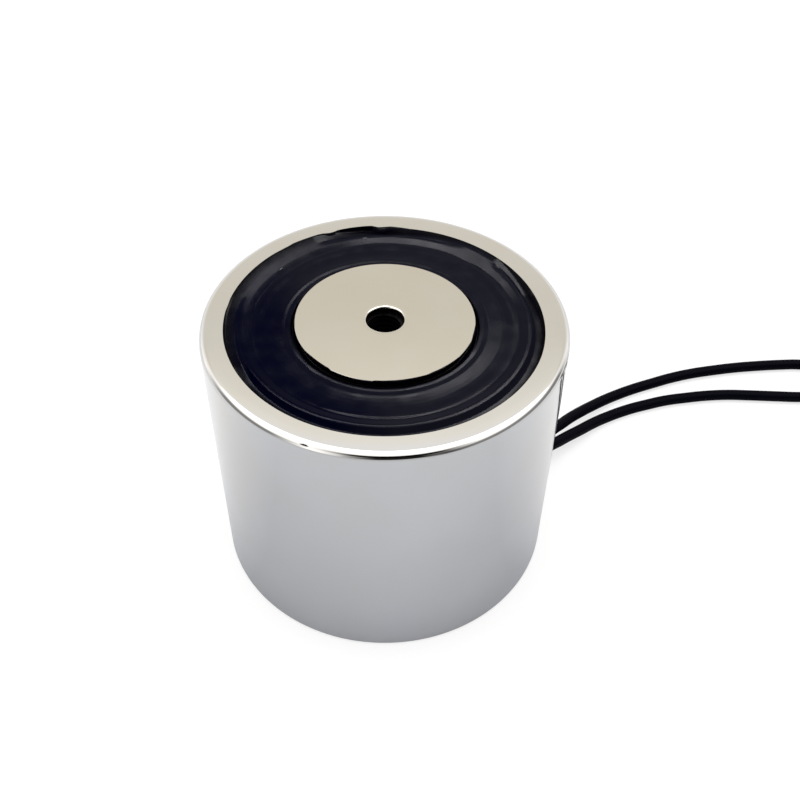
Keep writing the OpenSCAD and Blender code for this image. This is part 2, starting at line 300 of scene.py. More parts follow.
def makeTie(name):
    x, y = leads["coilCentre"]
    bm = bmesh.new()
    low, high = tie["innerY"], tie["outerY"]
    corners = [(low, tie["t"]), (high, tie["t"]), (high, tie["topZ"]), (low, tie["topZ"])]
    verts = [bm.verts.new(((x - tie["w"] / 2) * mm, (y + cy) * mm, cz * mm)) for cy, cz in corners]
    loop = [bm.edges.new((verts[i], verts[(i + 1) % 4])) for i in range(4)]
    made = bmesh.ops.extrude_edge_only(bm, edges=loop)["geom"]
    across = [g for g in made if isinstance(g, bmesh.types.BMVert)]
    bmesh.ops.translate(bm, verts=across, vec=(tie["w"] * mm, 0, 0))
    folds = [e for e in bm.edges if abs(e.verts[0].co.x - e.verts[1].co.x) > tie["w"] / 2 * mm]
    bmesh.ops.bevel(bm, geom=folds, offset=tie["corner"] * mm, offset_type="OFFSET",
                    segments=tie["cornerSteps"], profile=0.5, affect="EDGES", clamp_overlap=True, material=-1)
    bmesh.ops.recalc_face_normals(bm, faces=bm.faces)
    bmesh.ops.solidify(bm, geom=list(bm.faces), thickness=-tie["t"] * mm)
    # the twisted ends: two round strands wound about each other
    ends = []
    for side in (-1, 1):
        made = bmesh.ops.create_circle(bm, segments=tie["sides"], radius=tie["twistD"] / 4 * mm)
        bmesh.ops.translate(bm, verts=made["verts"], vec=(side * tie["twistD"] / 4 * mm, 0, 0))
        ends += made["verts"]
    endEdges = list({e for v in ends for e in v.link_edges})
    start = Vector((x, y + high + tie["t"] / 2, tie["twistD"] / 2)) * mm
    bmesh.ops.transform(bm, verts=ends, matrix=Matrix.Translation(start) @ Matrix.Rotation(-pi / 2, 4, "X"))
    bmesh.ops.spin(bm, geom=ends + endEdges, cent=start, axis=(0, 1, 0),
                   dvec=(0, tie["twistLength"] / tie["steps"] * mm, 0),
                   angle=2 * pi * tie["twistTurns"], steps=tie["steps"])
    bmesh.ops.holes_fill(bm, edges=[e for e in bm.edges if e.is_boundary])
    return finishMesh(bm, name, tie["sharp"])


tieStrip = makeTie("twist_tie_strip")
place(tieStrip, "tie", "lead_tie")
print("tips and tie made")


# Housing cup: a turned steel pot with a rounded rim and a cross hole for the leads
cup = {
    "r": leads["wall"], "h": 49, "bore": 26, "floor": 5, "spigotR": 8,
    "rimRound": 1.2, "rimSteps": 12, "baseRound": 0.5, "baseSteps": 6,
    # loops that keep the shading flat: heights on the wall, steps in from it on the rim, and single ones
    "wallLoops": (1, 4, 12), "rimLoops": (1.4, 1.9, 2.4),
    "baseLoop": 1, "underRim": 1.5, "boreLoop": 0.4, "boreHeight": 12,
    # degrees round the axis, and how far the rim's inner edge stands in there, mm
    "lip": [(-180, 0), (-44, 0), (-28, 0.16), (-12, 0.34), (4, 0.46), (20, 0.52), (44, 0.56), (56, 0.6),
            (60, 0.4), (64, 0.24), (67, 0.46), (69, 0.46), (71, 0), (85, 0), (87, 0.3), (89, 0.3), (91, 0),
            (180, 0)],
    "lipDepth": 2.2,
    # polishing lets the rim fall off: mm per square mm past that radius
    "crownFrom": 27.2, "crown": 0.014,
    "exitR": 3, "exitZ": leads["exitZ"], "drill": (20, 40),
    # a dent in the rounding
    "nickAngle": -137, "nickR": 29.68, "nickZ": 48.6, "nickSize": (0.13, 0.75, 0.13),
    "nickMargin": 1.02,
    "near": 0.01,
    "steps": 288,
}


def makeCup():
    bm = bmesh.new()
    r, h, bore, near = cup["r"], cup["h"], cup["bore"], cup["near"]
    outside = [(cup["spigotR"], 0), (r - cup["baseLoop"], 0), (r, 0)] + [(r, z) for z in cup["wallLoops"]]
    rim = [(r, h - cup["underRim"]), (r, h)] + [(r - step, h) for step in cup["rimLoops"]]
    rim += [(cup["crownFrom"], h), (bore + cup["boreLoop"], h), (bore, h), (bore, h - cup["lipDepth"])]
    within = [(bore, cup["boreHeight"]), (bore, cup["floor"]), (cup["spigotR"], cup["floor"])]
    turnOutline(bm, outside + rim + within, cup["steps"])
    roundRing(bm, r, h, cup["rimRound"], cup["rimSteps"])
    roundRing(bm, r, 0, cup["baseRound"], cup["baseSteps"])
    for v in bm.verts:
        out = hypot(v.co.x, v.co.y) / mm
        past = out - cup["crownFrom"]
        if past > 0 and v.co.z > (h - cup["rimRound"] - near) * mm:
            v.co.z -= cup["crown"] * past ** 2 * mm
        if abs(out - bore) < near and v.co.z > (h - cup["lipDepth"] - near) * mm:
            inward = 1 - between(cup["lip"], degrees(atan2(v.co.y, v.co.x))) / bore
            v.co.x *= inward
            v.co.y *= inward
    piece = finishMesh(bm, "turned_cup")
    cutWith(piece, finishMesh(crossRod(cup["exitR"], *cup["drill"], cup["exitZ"]), "exit_drill"))
    nick = bmesh.new()
    a = radians(cup["nickAngle"])
    bmesh.ops.create_icosphere(nick, subdivisions=3, radius=mm, matrix=Matrix.Translation(
        (cup["nickR"] * cos(a) * mm, cup["nickR"] * sin(a) * mm, cup["nickZ"] * mm))
        @ Matrix.Rotation(a, 4, "Z") @ Matrix.Diagonal((*cup["nickSize"], 1)))
    cutWith(piece, finishMesh(nick, "nick"))
    shade(piece.data, meshing["sharp"])
    return piece


cupPiece = makeCup()
place(cupPiece, "nickel_cup", "housing_cup")
print("cup turned")


# Pole core: turned steel, pressed into the base, with a tapped hole right through
core = {
    "r": 14.65, "h": cup["h"], "shoulder": cup["floor"], "spigotR": cup["spigotR"],
    "mouthR": 3.1, "mouthDepth": 1.35, "mouthRound": 0.3, "mouthSteps": 8, "edgeBreak": 0.04,
    "mouthLoop": 0.8, "edgeLoop": 0.6,      # loops that keep the shading flat, in from the two edges
    "threadMajor": 3.0, "threadMinor": 2.5, "pitch": 1.0, "leadIn": 0.6,
    "crest": 0.12, "root": 0.12,
    "weld": 0.001, "onPlane": 0.0001, "near": 0.01, "margin": 0.02,
    "steps": 192, "threadSteps": 36,
}


def makeCore():
    bm = bmesh.new()
    r, h = core["r"], core["h"]
    ledge = h - core["mouthDepth"]
    turnOutline(bm, [
        (core["mouthR"], ledge), (core["mouthR"], h), (core["mouthR"] + core["mouthLoop"], h),
        (r - core["edgeLoop"], h), (r, h), (r, h - core["edgeLoop"]),
        (r, core["shoulder"]), (core["spigotR"], core["shoulder"]), (core["spigotR"], 0),
        (core["threadMinor"] + core["leadIn"], 0)], core["steps"], closed=False)
    roundRing(bm, r, h, core["edgeBreak"], segments=1)
    roundRing(bm, core["mouthR"], h, core["mouthRound"], core["mouthSteps"])
    body = set(bm.verts)
    # the thread: one groove wound up the bore, cut off at the ledge and at the lead-in
    pitch, root, crest = core["pitch"], core["root"], core["crest"]
    major, minor = core["threadMajor"], core["threadMinor"]
    flank = (pitch - crest - root) / 2
    groove = [(major, 0), (major, root), (minor, root + flank), (minor, root + flank + crest), (major, pitch)]
    verts = [bm.verts.new((x * mm, 0, (z - pitch) * mm)) for x, z in groove]
    edges = [bm.edges.new(pair) for pair in zip(verts, verts[1:])]
    turns = int(h / pitch) + 2     # one over at each end
    bmesh.ops.spin(bm, geom=verts + edges, cent=(0, 0, 0), axis=(0, 0, 1),
                   dvec=(0, 0, pitch / core["threadSteps"] * mm), angle=2 * pi * turns,
                   steps=turns * core["threadSteps"])
    bmesh.ops.remove_doubles(bm, verts=[v for v in bm.verts if v not in body], dist=core["weld"] * mm)
    for height, up in ((ledge, 1), (core["leadIn"], -1)):
        thread = [v for v in bm.verts if v not in body]
        geom = set(thread)
        geom |= {e for v in thread for e in v.link_edges}
        geom |= {f for v in thread for f in v.link_faces}
        bmesh.ops.bisect_plane(bm, geom=list(geom), dist=core["onPlane"] * mm, plane_co=(0, 0, height * mm),
                               plane_no=(0, 0, up), clear_outer=True)
    near = core["near"]
    for low, high in ((ledge - near, ledge + near), (-near, core["leadIn"] + near)):
        loose = [e for e in bm.edges if e.is_boundary and all(low * mm < v.co.z < high * mm for v in e.verts)]
        bmesh.ops.bridge_loops(bm, edges=loose)
    return finishMesh(bm, "turned_core")


corePiece = makeCore()
place(corePiece, "nickel_core", "pole_core")
print("core turned")


# Epoxy: poured black resin, a shallow ring with moulded ridges, a groove at the pole and one at the rim
resin = {
    "poleR": core["r"], "rimR": cup["bore"], "bottom": cup["floor"], "top": cup["h"],
    "bobbinR": 25.5, "tapeR": 24.1, "bobbinZ": (10, 11.2, 45.45, 46.65),
    # radius and depth below the pole face, from the rim to the pole
    "surface": [
        (26, 1.1), (25.7, 1.4), (24.4, 1.4), (24.05, 1.0), (23.8, 0.56), (23.4, 0.46), (23.15, 0.48),
        (22.0, 0.88), (21.7, 0.94), (21.3, 0.83), (20.8, 0.84), (19.8, 0.98), (19.0, 1.0), (18.2, 0.96),
        (17.4, 0.87), (16.8, 0.77), (16.2, 0.92), (15.9, 0.93), (15.35, 0.82), (15.2, 1.75), (14.95, 1.75),
        (14.65, 1.45)],
    # where the pour wetted the rim instead: radius and depth, then degrees round the axis and how much
    "wetSurface": [(22.0, 0.88), (22.5, 0.84), (23.4, 0.62), (24.4, 0.37), (25.3, 0.15), (26.01, 0.01)],
    "wet": [(-180, 0.5), (-170, 0), (66, 0), (96, 1), (140, 1), (180, 0.5)],
    # where it climbed the rim more steeply
    "steepSurface": [(22.0, 0.88), (24.3, 0.14), (25.2, 0.05), (26.01, 0.01)],
    "steep": [(-180, 0), (-6, 0), (16, 1), (30, 1), (66, 0), (180, 0)],
    # and where it settled flat, without the ridges
    "calmSurface": [(15.9, 0.93), (16.8, 0.93), (19.0, 0.99), (21.3, 0.93), (22.0, 0.88), (23.15, 0.5),
                    (23.8, 0.52)],
    "calm": [(-180, 0.7), (-165, 0.85), (-150, 0.75), (-128, 0), (-102, 0), (-82, 0.55), (-60, 0.8),
             (-30, 0.8), (-8, 0), (150, 0), (180, 0.7)],
    "overBobbin": 0.2,      # what lies higher than this over it is the poured surface
    "round": 0.14, "roundSteps": 3,
    "wave": 0.05, "waveSize": 3.5,
    "plugR": 2.98, "plugEnd": 29.3, "plugStart": 22, "plugWall": 0.5, "plugHollow": 0.35,
    "exitZ": leads["exitZ"],
    # radii over which painted shade darkens the colour into the grooves
    "rimGrooveShade": (24.1, 25.6), "poleGrooveShade": (15.2, 15.7),
    "sharp": 60,
    "steps": 320,
}


def makeResin():
    bm = bmesh.new()
    z0, z1, z2, z3 = resin["bobbinZ"]
    top = [(r, resin["top"] - depth) for r, depth in resin["surface"]]
    inner = resin["poleR"]
    turnOutline(bm, [(inner, resin["bottom"]), (resin["rimR"], resin["bottom"])] + top + [
        (inner, z3), (resin["bobbinR"], z3), (resin["bobbinR"], z2), (resin["tapeR"], z2),
        (resin["tapeR"], z1), (resin["bobbinR"], z1), (resin["bobbinR"], z0), (inner, z0)], resin["steps"])
    rings = [e for r, z in top[1:-1] for e in ringEdges(bm, r, z)]
    bmesh.ops.bevel(bm, geom=rings, offset=resin["round"] * mm, offset_type="OFFSET",
                    segments=resin["roundSteps"], profile=0.5, affect="EDGES", clamp_overlap=True,
                    material=-1)
    for v in bm.verts:
        if v.co.z > (z3 + resin["overBobbin"]) * mm:
            lift = noise.noise(v.co / (resin["waveSize"] * mm))
            v.co.z += lift * resin["wave"] * mm
            r = hypot(v.co.x, v.co.y) / mm
            at = degrees(atan2(v.co.y, v.co.x))
            for kind in ("calm", "wet", "steep"):
                level = resin[kind + "Surface"]
                if level[0][0] < r < level[-1][0]:
                    v.co.z += (resin["top"] * mm - between(level, r) * mm - v.co.z) * between(resin[kind], at)
    piece = finishMesh(bm, "poured_resin", resin["sharp"])
    plug = crossRod(resin["plugR"], resin["plugStart"], resin["plugEnd"], resin["exitZ"])
    plug.faces.ensure_lookup_table()
    face = max(plug.faces, key=lambda f: f.calc_center_median().x)
    bmesh.ops.inset_region(plug, faces=[face], thickness=resin["plugWall"] * mm,
                           depth=-resin["plugHollow"] * mm)
    cutWith(piece, finishMesh(plug, "exit_plug"), "UNION")
    shade(piece.data, resin["sharp"])
    return piece


resinPiece = makeResin()
place(resinPiece, "black_epoxy", "epoxy_potting")
print("resin poured")


# Resin films: where the pour crept over the metal's edges and was never wiped off
films = {
    "thick": 0.015,
    "sharp": 60,
    "metalInside": -1, "metalOutside": 1,
    "stretchFrom": 0.3,     # what reaches further over the metal than this is stretched
    # how far the lip hangs out from the metal's edge and down from its face, mm
    "poleLip": (0.06, 0.5), "rimLip": (0.06, 1.4),
    # degrees round the axis, and how far the film reaches over the metal there, mm
    "poleLeft": [(-172, 0.01), (-166, 0.15), (-158, 0.19), (-151, 0.16), (-149, 0.01)],
    "poleFront": [(-122, 0.01), (-120, 0.2), (-112, 0.25), (-100, 0.23), (-92, 0.15), (-88, 0.08),
                  (-84, 0.17), (-74, 0.13), (-68, 0.08), (-63, 0.01)],
    "poleRight": [(-44, 0.01), (-40, 0.13), (-33, 0.11), (-28, 0.01)],
    "rimBack": [(71, 0.01), (73, 0.08), (80, 0.08), (84, 0.01)],
    "rimLeft": [(91, 0.01), (93, 0.12), (98, 0.13), (104, 0.19), (107, 0.03), (110, 0.03), (114, 0.1),
                (128, 0.11), (144, 0.13), (148, 0.04), (152, 0.1), (168, 0.08), (178, 0.03), (188, 0.01)],
}


def makeFilm(name, edgeR, side, lip, reach):
    start, end = reach[0][0], reach[-1][0]
    thick, (over, drop) = films["thick"], lip
    # a thin lip: distance over the metal, where 1 stands for the reach, and height over its face
    section = [(1, 0), (0.6, thick), (-0.04, 0), (-over, -drop / 3), (-over, -drop), (0.02, -drop),
               (0.9, -thick)]
    bm = bmesh.new()
    a = radians(start)
    verts = []
    for s, z in section:
        r = edgeR + side * s
        verts.append(bm.verts.new((r * cos(a) * mm, r * sin(a) * mm, (resin["top"] + z) * mm)))
    edges = [bm.edges.new((verts[i - 1], verts[i])) for i in range(len(verts))]
    bmesh.ops.spin(bm, geom=verts + edges, cent=(0, 0, 0), axis=(0, 0, 1), dvec=(0, 0, 0),
                   angle=radians(end - start), steps=end - start)
    for v in bm.verts:
        r = hypot(v.co.x, v.co.y) / mm
        s = (r - edgeR) * side
        if s > films["stretchFrom"]:
            angle = start + (degrees(atan2(v.co.y, v.co.x)) - start + 1) % 360 - 1
            stretch = (edgeR + side * s * between(reach, angle)) / r
            v.co.x *= stretch
            v.co.y *= stretch
    bmesh.ops.holes_fill(bm, edges=[e for e in bm.edges if e.is_boundary])
    piece = finishMesh(bm, name, films["sharp"])
    place(piece, "black_epoxy")
    return piece


filmPieces = []
for name, reach in (("pole_left_film", "poleLeft"), ("pole_front_film", "poleFront"),
                    ("pole_right_film", "poleRight")):
    filmPieces.append(makeFilm(name, core["r"], films["metalInside"], films["poleLip"], films[reach]))
for name, reach in (("rim_back_film", "rimBack"), ("rim_left_film", "rimLeft")):
    filmPieces.append(makeFilm(name, cup["bore"], films["metalOutside"], films["rimLip"], films[reach]))


# Flecks: a few pale grains caught in the resin's skin
flecks = {
    "d": 0.16,
    # radius, degrees round the axis, depth below the face and length along the ring, mm
    "places": [(23.6, 110, 0.85, 0.3), (21.0, 82, 0.93, 0.2), (23.1, 75, 0.5, 1.0), (22.7, 118, 0.58, 0.8)],
}


def makeFlecks():
    bm = bmesh.new()
    for r, turn, depth, length in flecks["places"]:
        a = radians(turn)
        shape = Matrix.Diagonal((flecks["d"] / 2, length / 2, flecks["d"] / 2, 1))
        spot = Matrix.Translation((r * cos(a) * mm, r * sin(a) * mm, (resin["top"] - depth) * mm))
        bmesh.ops.create_icosphere(bm, subdivisions=2, radius=mm,
                                   matrix=spot @ Matrix.Rotation(a, 4, "Z") @ shape)
    piece = finishMesh(bm, "resin_flecks")
    place(piece, "black_epoxy")
    return piece


fleckPiece = makeFlecks()
print("films and flecks made")


# Materials
def fromHex(code):
    parts = [int(code[i:i + 2], 16) / 255 for i in (1, 3, 5)]
    return [c / 12.92 if c <= 0.04045 else ((c + 0.055) / 1.055) ** 2.4 for c in parts] + [1]


def addNode(tree, kind, inputs=None, **settings):
    node = tree.nodes.new("ShaderNode" + kind)
    for key, value in settings.items():
        setattr(node, key, value)
    for key, value in (inputs or {}).items():
        if isinstance(value, bpy.types.NodeSocket):
            tree.links.new(value, node.inputs[key])
        else:
            node.inputs[key].default_value = value
    return node


# Scale of a wave texture for bands at that distance: it repeats after 2 pi / 20 of its own unit
def bandScale(pitchMm):
    return 2 * pi / 20 / (pitchMm * mm)


def newMaterial(name):
    material = bpy.data.materials.new(name)
    material.use_nodes = True
    material.node_tree.nodes.clear()
    tree = material.node_tree
    return material, tree, addNode(tree, "TexCoord").outputs["Object"]


# Bright nickel over turned steel: mirror-like, warmer in patches, with the lathe's fine rings showing through
def nickel(name, tints, rough, ringMm, ringDepth):
    material, tree, where = newMaterial(name)
    split = addNode(tree, "SeparateXYZ", {0: where})
    flat = addNode(tree, "CombineXYZ", {0: split.outputs[0], 1: split.outputs[1]})
    radius = addNode(tree, "VectorMath", {0: flat.outputs[0]}, operation="LENGTH")
    across = addNode(tree, "CombineXYZ", {0: radius.outputs["Value"], 2: split.outputs[2]})
    rings = addNode(tree, "TexNoise", {"Vector": across.outputs[0], "Scale": 1 / (ringMm * mm), "Detail": 3.0,
                                       "Roughness": 0.6})
    haze = addNode(tree, "TexNoise", {"Vector": where, "Scale": 1 / (14 * mm), "Detail": 3.0})
    roughness = addNode(tree, "MapRange", {"Value": haze.outputs["Fac"], "From Min": 0.3, "From Max": 0.7,
                                           "To Min": rough * 0.8, "To Max": rough * 1.3})
    tone = addNode(tree, "ValToRGB", {"Fac": haze.outputs["Fac"]})
    for element, position, colour in zip(tone.color_ramp.elements, (0.35, 0.65), tints):
        element.position = position
        element.color = fromHex(colour)
    bump = addNode(tree, "Bump", {"Height": rings.outputs["Fac"], "Strength": 1.0,
                                  "Distance": ringDepth * mm})
    shader = addNode(tree, "BsdfPrincipled", {"Base Color": tone.outputs[0], "Metallic": 1.0,
                                              "Roughness": roughness.outputs[0], "Normal": bump.outputs[0]})
    addNode(tree, "OutputMaterial", {"Surface": shader.outputs[0]})
    return material


# Black epoxy: cast and glossy, blue-black, with a faint painted sheen that lightens it towards one side and
# leaves the other side clear
def epoxy():
    material, tree, where = newMaterial("cast_black_epoxy")
    haze = addNode(tree, "TexNoise", {"Vector": where, "Scale": 1 / (2.5 * mm), "Detail": 5.0})
    roughness = addNode(tree, "MapRange", {"Value": haze.outputs["Fac"], "From Min": 0.3, "From Max": 0.7,
                                           "To Min": 0.14, "To Max": 0.26})
    grain = addNode(tree, "TexNoise", {"Vector": where, "Scale": 1 / (0.35 * mm), "Detail": 3.0})
    bump = addNode(tree, "Bump", {"Height": grain.outputs["Fac"], "Strength": 1.0, "Distance": 0.002 * mm})
    # painted sheen: the base colour turns lighter towards one side, mottled by a cloud of noise
    side = addNode(tree, "VectorMath", {0: where, 1: (50, -3.5, 0)}, operation="DOT_PRODUCT")     # per metre
    cloud = addNode(tree, "TexNoise", {"Vector": where, "Scale": 1 / (11 * mm), "Detail": 3.0})
    both = addNode(tree, "Math", {0: side.outputs["Value"], 1: cloud.outputs["Fac"]}, operation="ADD")
    paintedSheen = addNode(tree, "MapRange", {"Value": both.outputs[0], "From Min": -0.35, "From Max": 0.15})
    flat = addNode(tree, "VectorMath", {0: where, 1: (1, 1, 0)}, operation="MULTIPLY")
    out = addNode(tree, "VectorMath", {0: flat.outputs[0]}, operation="LENGTH").outputs["Value"]
    tone = addNode(tree, "MixRGB", {0: paintedSheen.outputs[0], 1: fromHex("#000114"), 2: fromHex("#13131d")})
    # painted shade: the colour turns near black towards the grooves at the rim and at the pole
    low, high = resin["rimGrooveShade"]
    rimGrooveShade = addNode(tree, "MapRange", {"Value": out, "From Min": low * mm, "From Max": high * mm})
    low, high = resin["poleGrooveShade"]
    poleGrooveShade = addNode(tree, "MapRange", {"Value": out, "From Min": low * mm, "From Max": high * mm,
                                            "To Min": 1.0, "To Max": 0.0})
    groove = addNode(tree, "Math", {0: rimGrooveShade.outputs[0], 1: poleGrooveShade.outputs[0]}, operation="MAXIMUM")
    colour = addNode(tree, "MixRGB", {0: groove.outputs[0], 1: tone.outputs[0], 2: fromHex("#010106")})
    shader = addNode(tree, "BsdfPrincipled", {"Base Color": colour.outputs[0],
                                              "Roughness": roughness.outputs[0],
                                              "Specular IOR Level": 0.014, "Normal": bump.outputs[0]})
    addNode(tree, "OutputMaterial", {"Surface": shader.outputs[0]})
    return material


# Black PVC: extruded insulation, satin, blue-black
def pvc():
    material, tree, where = newMaterial("extruded_black_pvc")
    haze = addNode(tree, "TexNoise", {"Vector": where, "Scale": 1 / (1.6 * mm), "Detail": 4.0})
    roughness = addNode(tree, "MapRange", {"Value": haze.outputs["Fac"], "From Min": 0.3, "From Max": 0.7,
                                           "To Min": 0.36, "To Max": 0.5})
    bump = addNode(tree, "Bump", {"Height": haze.outputs["Fac"], "Strength": 1.0, "Distance": 0.01 * mm})
    shader = addNode(tree, "BsdfPrincipled", {"Base Color": fromHex("#04040c"),
                                              "Roughness": roughness.outputs[0],
                                              "Specular IOR Level": 0.025, "Normal": bump.outputs[0]})
    addNode(tree, "OutputMaterial", {"Surface": shader.outputs[0]})
    return material


# Bored and tapped after plating: bare steel, darkened by painted shade, blackest down in the thread
def shadedSteel(name, darkest, lightest):
    material, tree, where = newMaterial(name)
    film = addNode(tree, "TexNoise", {"Vector": where, "Scale": 1 / (0.8 * mm), "Detail": 4.0})
    roughness = addNode(tree, "MapRange", {"Value": film.outputs["Fac"], "From Min": 0.3, "From Max": 0.7,
                                           "To Min": 0.3, "To Max": 0.5})
    tone = addNode(tree, "ValToRGB", {"Fac": film.outputs["Fac"]})
    tone.color_ramp.elements[0].color = fromHex(darkest)
    tone.color_ramp.elements[1].color = fromHex(lightest)
    shader = addNode(tree, "BsdfPrincipled", {"Base Color": tone.outputs[0], "Metallic": 1.0,
                                              "Roughness": roughness.outputs[0]})
    addNode(tree, "OutputMaterial", {"Surface": shader.outputs[0]})
    return material


# Tinned copper: dipped strands and soldered joints, soft grey and a little uneven
def tinnedCopper():
    material, tree, where = newMaterial("dipped_tinned_copper")
    flow = addNode(tree, "TexNoise", {"Vector": where, "Scale": 1 / (0.6 * mm), "Detail": 3.0})
    roughness = addNode(tree, "MapRange", {"Value": flow.outputs["Fac"], "From Min": 0.3, "From Max": 0.7,
                                           "To Min": 0.2, "To Max": 0.42})
    tone = addNode(tree, "ValToRGB", {"Fac": flow.outputs["Fac"]})
    tone.color_ramp.elements[0].color = fromHex("#b4b4b6")
    tone.color_ramp.elements[1].color = fromHex("#d2d1cf")
    bump = addNode(tree, "Bump", {"Height": flow.outputs["Fac"], "Strength": 1.0, "Distance": 0.01 * mm})
    shader = addNode(tree, "BsdfPrincipled", {"Base Color": tone.outputs[0], "Metallic": 1.0,
                                              "Roughness": roughness.outputs[0], "Normal": bump.outputs[0]})
    addNode(tree, "OutputMaterial", {"Surface": shader.outputs[0]})
    return material


# Tie strip: extruded polyethylene over a steel wire, black and waxy, with the faint lines of the die
def tiePlastic():
    material, tree, where = newMaterial("extruded_polyethylene_strip")
    lines = addNode(tree, "TexWave", {"Vector": where, "Scale": bandScale(0.4), "Distortion": 1.5},
                    bands_direction="X")
    roughness = addNode(tree, "MapRange", {"Value": lines.outputs["Fac"], "To Min": 0.4, "To Max": 0.5})
    bump = addNode(tree, "Bump", {"Height": lines.outputs["Fac"], "Strength": 1.0, "Distance": 0.012 * mm})
    shader = addNode(tree, "BsdfPrincipled", {"Base Color": fromHex("#0b0b0c"),
                                              "Roughness": roughness.outputs[0],
                                              "Specular IOR Level": 0.3, "Normal": bump.outputs[0]})
    addNode(tree, "OutputMaterial", {"Surface": shader.outputs[0]})
    return material


# Pale lint: matt grey-white grains
def lint():
    material, tree, where = newMaterial("settled_pale_lint")
    grain = addNode(tree, "TexNoise", {"Vector": where, "Scale": 1 / (0.1 * mm), "Detail": 2.0})
    tone = addNode(tree, "ValToRGB", {"Fac": grain.outputs["Fac"]})
    tone.color_ramp.elements[0].color = fromHex("#55575e")
    tone.color_ramp.elements[1].color = fromHex("#8d8f96")
    shader = addNode(tree, "BsdfPrincipled", {"Base Color": tone.outputs[0], "Roughness": 0.9})
    addNode(tree, "OutputMaterial", {"Surface": shader.outputs[0]})
    return material


# Natural nylon: moulded, milky cream, a satin skin
def nylon():
    material, tree, where = newMaterial("moulded_natural_nylon")
    cloud = addNode(tree, "TexNoise", {"Vector": where, "Scale": 1 / (6 * mm), "Detail": 3.0})
    tone = addNode(tree, "ValToRGB", {"Fac": cloud.outputs["Fac"]})
    tone.color_ramp.elements[0].color = fromHex("#d8cfb8")
    tone.color_ramp.elements[1].color = fromHex("#e6dfcc")
    shader = addNode(tree, "BsdfPrincipled", {"Base Color": tone.outputs[0], "Roughness": 0.42,
                                              "Subsurface Weight": 0.15, "Subsurface Scale": 0.5 * mm})
    addNode(tree, "OutputMaterial", {"Surface": shader.outputs[0]})
    return material


# Enamelled copper wire: wound in close rows, red-brown and glossy
def enamelledCopper(wireMm=0.5):
    material, tree, where = newMaterial("wound_enamelled_copper")
    rows = addNode(tree, "TexWave", {"Vector": where, "Scale": bandScale(wireMm)}, bands_direction="Z")
    tone = addNode(tree, "ValToRGB", {"Fac": rows.outputs["Fac"]})
    tone.color_ramp.elements[0].color = fromHex("#5a2611")
    tone.color_ramp.elements[1].color = fromHex("#b5602c")
    bump = addNode(tree, "Bump", {"Height": rows.outputs["Fac"], "Strength": 1.0, "Distance": 0.2 * mm})
    shader = addNode(tree, "BsdfPrincipled", {"Base Color": tone.outputs[0], "Metallic": 0.85,
                                              "Roughness": 0.24,
                                              "Coat Weight": 0.4, "Normal": bump.outputs[0]})
    addNode(tree, "OutputMaterial", {"Surface": shader.outputs[0]})
    return material


# Polyester film tape: wrapped, amber and glossy, with faint creases along the turns
def polyesterFilm():
    material, tree, where = newMaterial("wrapped_polyester_film")
    creases = addNode(tree, "TexWave", {"Vector": where, "Scale": bandScale(9), "Distortion": 3.0,
                                        "Detail": 3.0}, bands_direction="Z")
    tone = addNode(tree, "ValToRGB", {"Fac": creases.outputs["Fac"]})
    tone.color_ramp.elements[0].color = fromHex("#c07f1c")
    tone.color_ramp.elements[1].color = fromHex("#dca032")
    bump = addNode(tree, "Bump", {"Height": creases.outputs["Fac"], "Strength": 1.0, "Distance": 0.05 * mm})
    shader = addNode(tree, "BsdfPrincipled", {"Base Color": tone.outputs[0], "Roughness": 0.2,
                                              "Normal": bump.outputs[0]})
    addNode(tree, "OutputMaterial", {"Surface": shader.outputs[0]})
    return material


# Varnished glass sleeve: braided, straw coloured, its weave showing through the varnish
def wovenSleeve(threadMm=0.4):
    material, tree, where = newMaterial("braided_varnished_glass")
    scale = bandScale(threadMm)
    over = addNode(tree, "TexWave", {"Vector": where, "Scale": scale}, bands_direction="DIAGONAL")
    under = addNode(tree, "TexWave", {"Vector": where, "Scale": scale}, bands_direction="X")
    weave = addNode(tree, "Math", {0: over.outputs["Fac"], 1: under.outputs["Fac"]}, operation="MULTIPLY")
    tone = addNode(tree, "ValToRGB", {"Fac": weave.outputs[0]})
    tone.color_ramp.elements[0].color = fromHex("#b9ab84")
    tone.color_ramp.elements[1].color = fromHex("#e2d8b6")
    bump = addNode(tree, "Bump", {"Height": weave.outputs[0], "Strength": 1.0, "Distance": 0.05 * mm})
    shader = addNode(tree, "BsdfPrincipled", {"Base Color": tone.outputs[0], "Roughness": 0.38,
                                              "Normal": bump.outputs[0]})
    addNode(tree, "OutputMaterial", {"Surface": shader.outputs[0]})
    return material


def dress(piece, material):
    piece.data.materials.clear()
    piece.data.materials.append(material)


def dressAll(pieces, material):
    for piece in pieces:
        dress(piece, material)


def dressBore():
    # painted shade: the counterbore is coloured dark and the thread black, where the hole lies in shade
    corePiece.data.materials.append(shadedSteel("counterbored_steel_painted_shade", "#151312", "#302d2d"))
    corePiece.data.materials.append(shadedSteel("tapped_steel_painted_shade", "#000000", "#030303"))
    ledge = core["h"] - core["mouthDepth"]
    for face in corePiece.data.polygons:
        x, y, z = face.center
        if hypot(x, y) < (core["mouthR"] + core["margin"]) * mm and z < (core["h"] - core["mouthRound"]) * mm:
            face.material_index = 1 if z > (ledge - core["margin"]) * mm else 2


def dressNick(dark):
    # painted shade: the faces in the nick take a dark steel colour
    cupPiece.data.materials.append(dark)
    a = radians(cup["nickAngle"])
    middle = Vector((cup["nickR"] * cos(a), cup["nickR"] * sin(a), cup["nickZ"]))
    long, across = cup["nickSize"][1], cup["nickSize"][0]
    along = Vector((-sin(a), cos(a), 0))
    for face in cupPiece.data.polygons:
        away = face.center / mm - middle
        run = away.dot(along)
        if (run / long) ** 2 + ((away - along * run).length / across) ** 2 < cup["nickMargin"]:
            face.material_index = 1


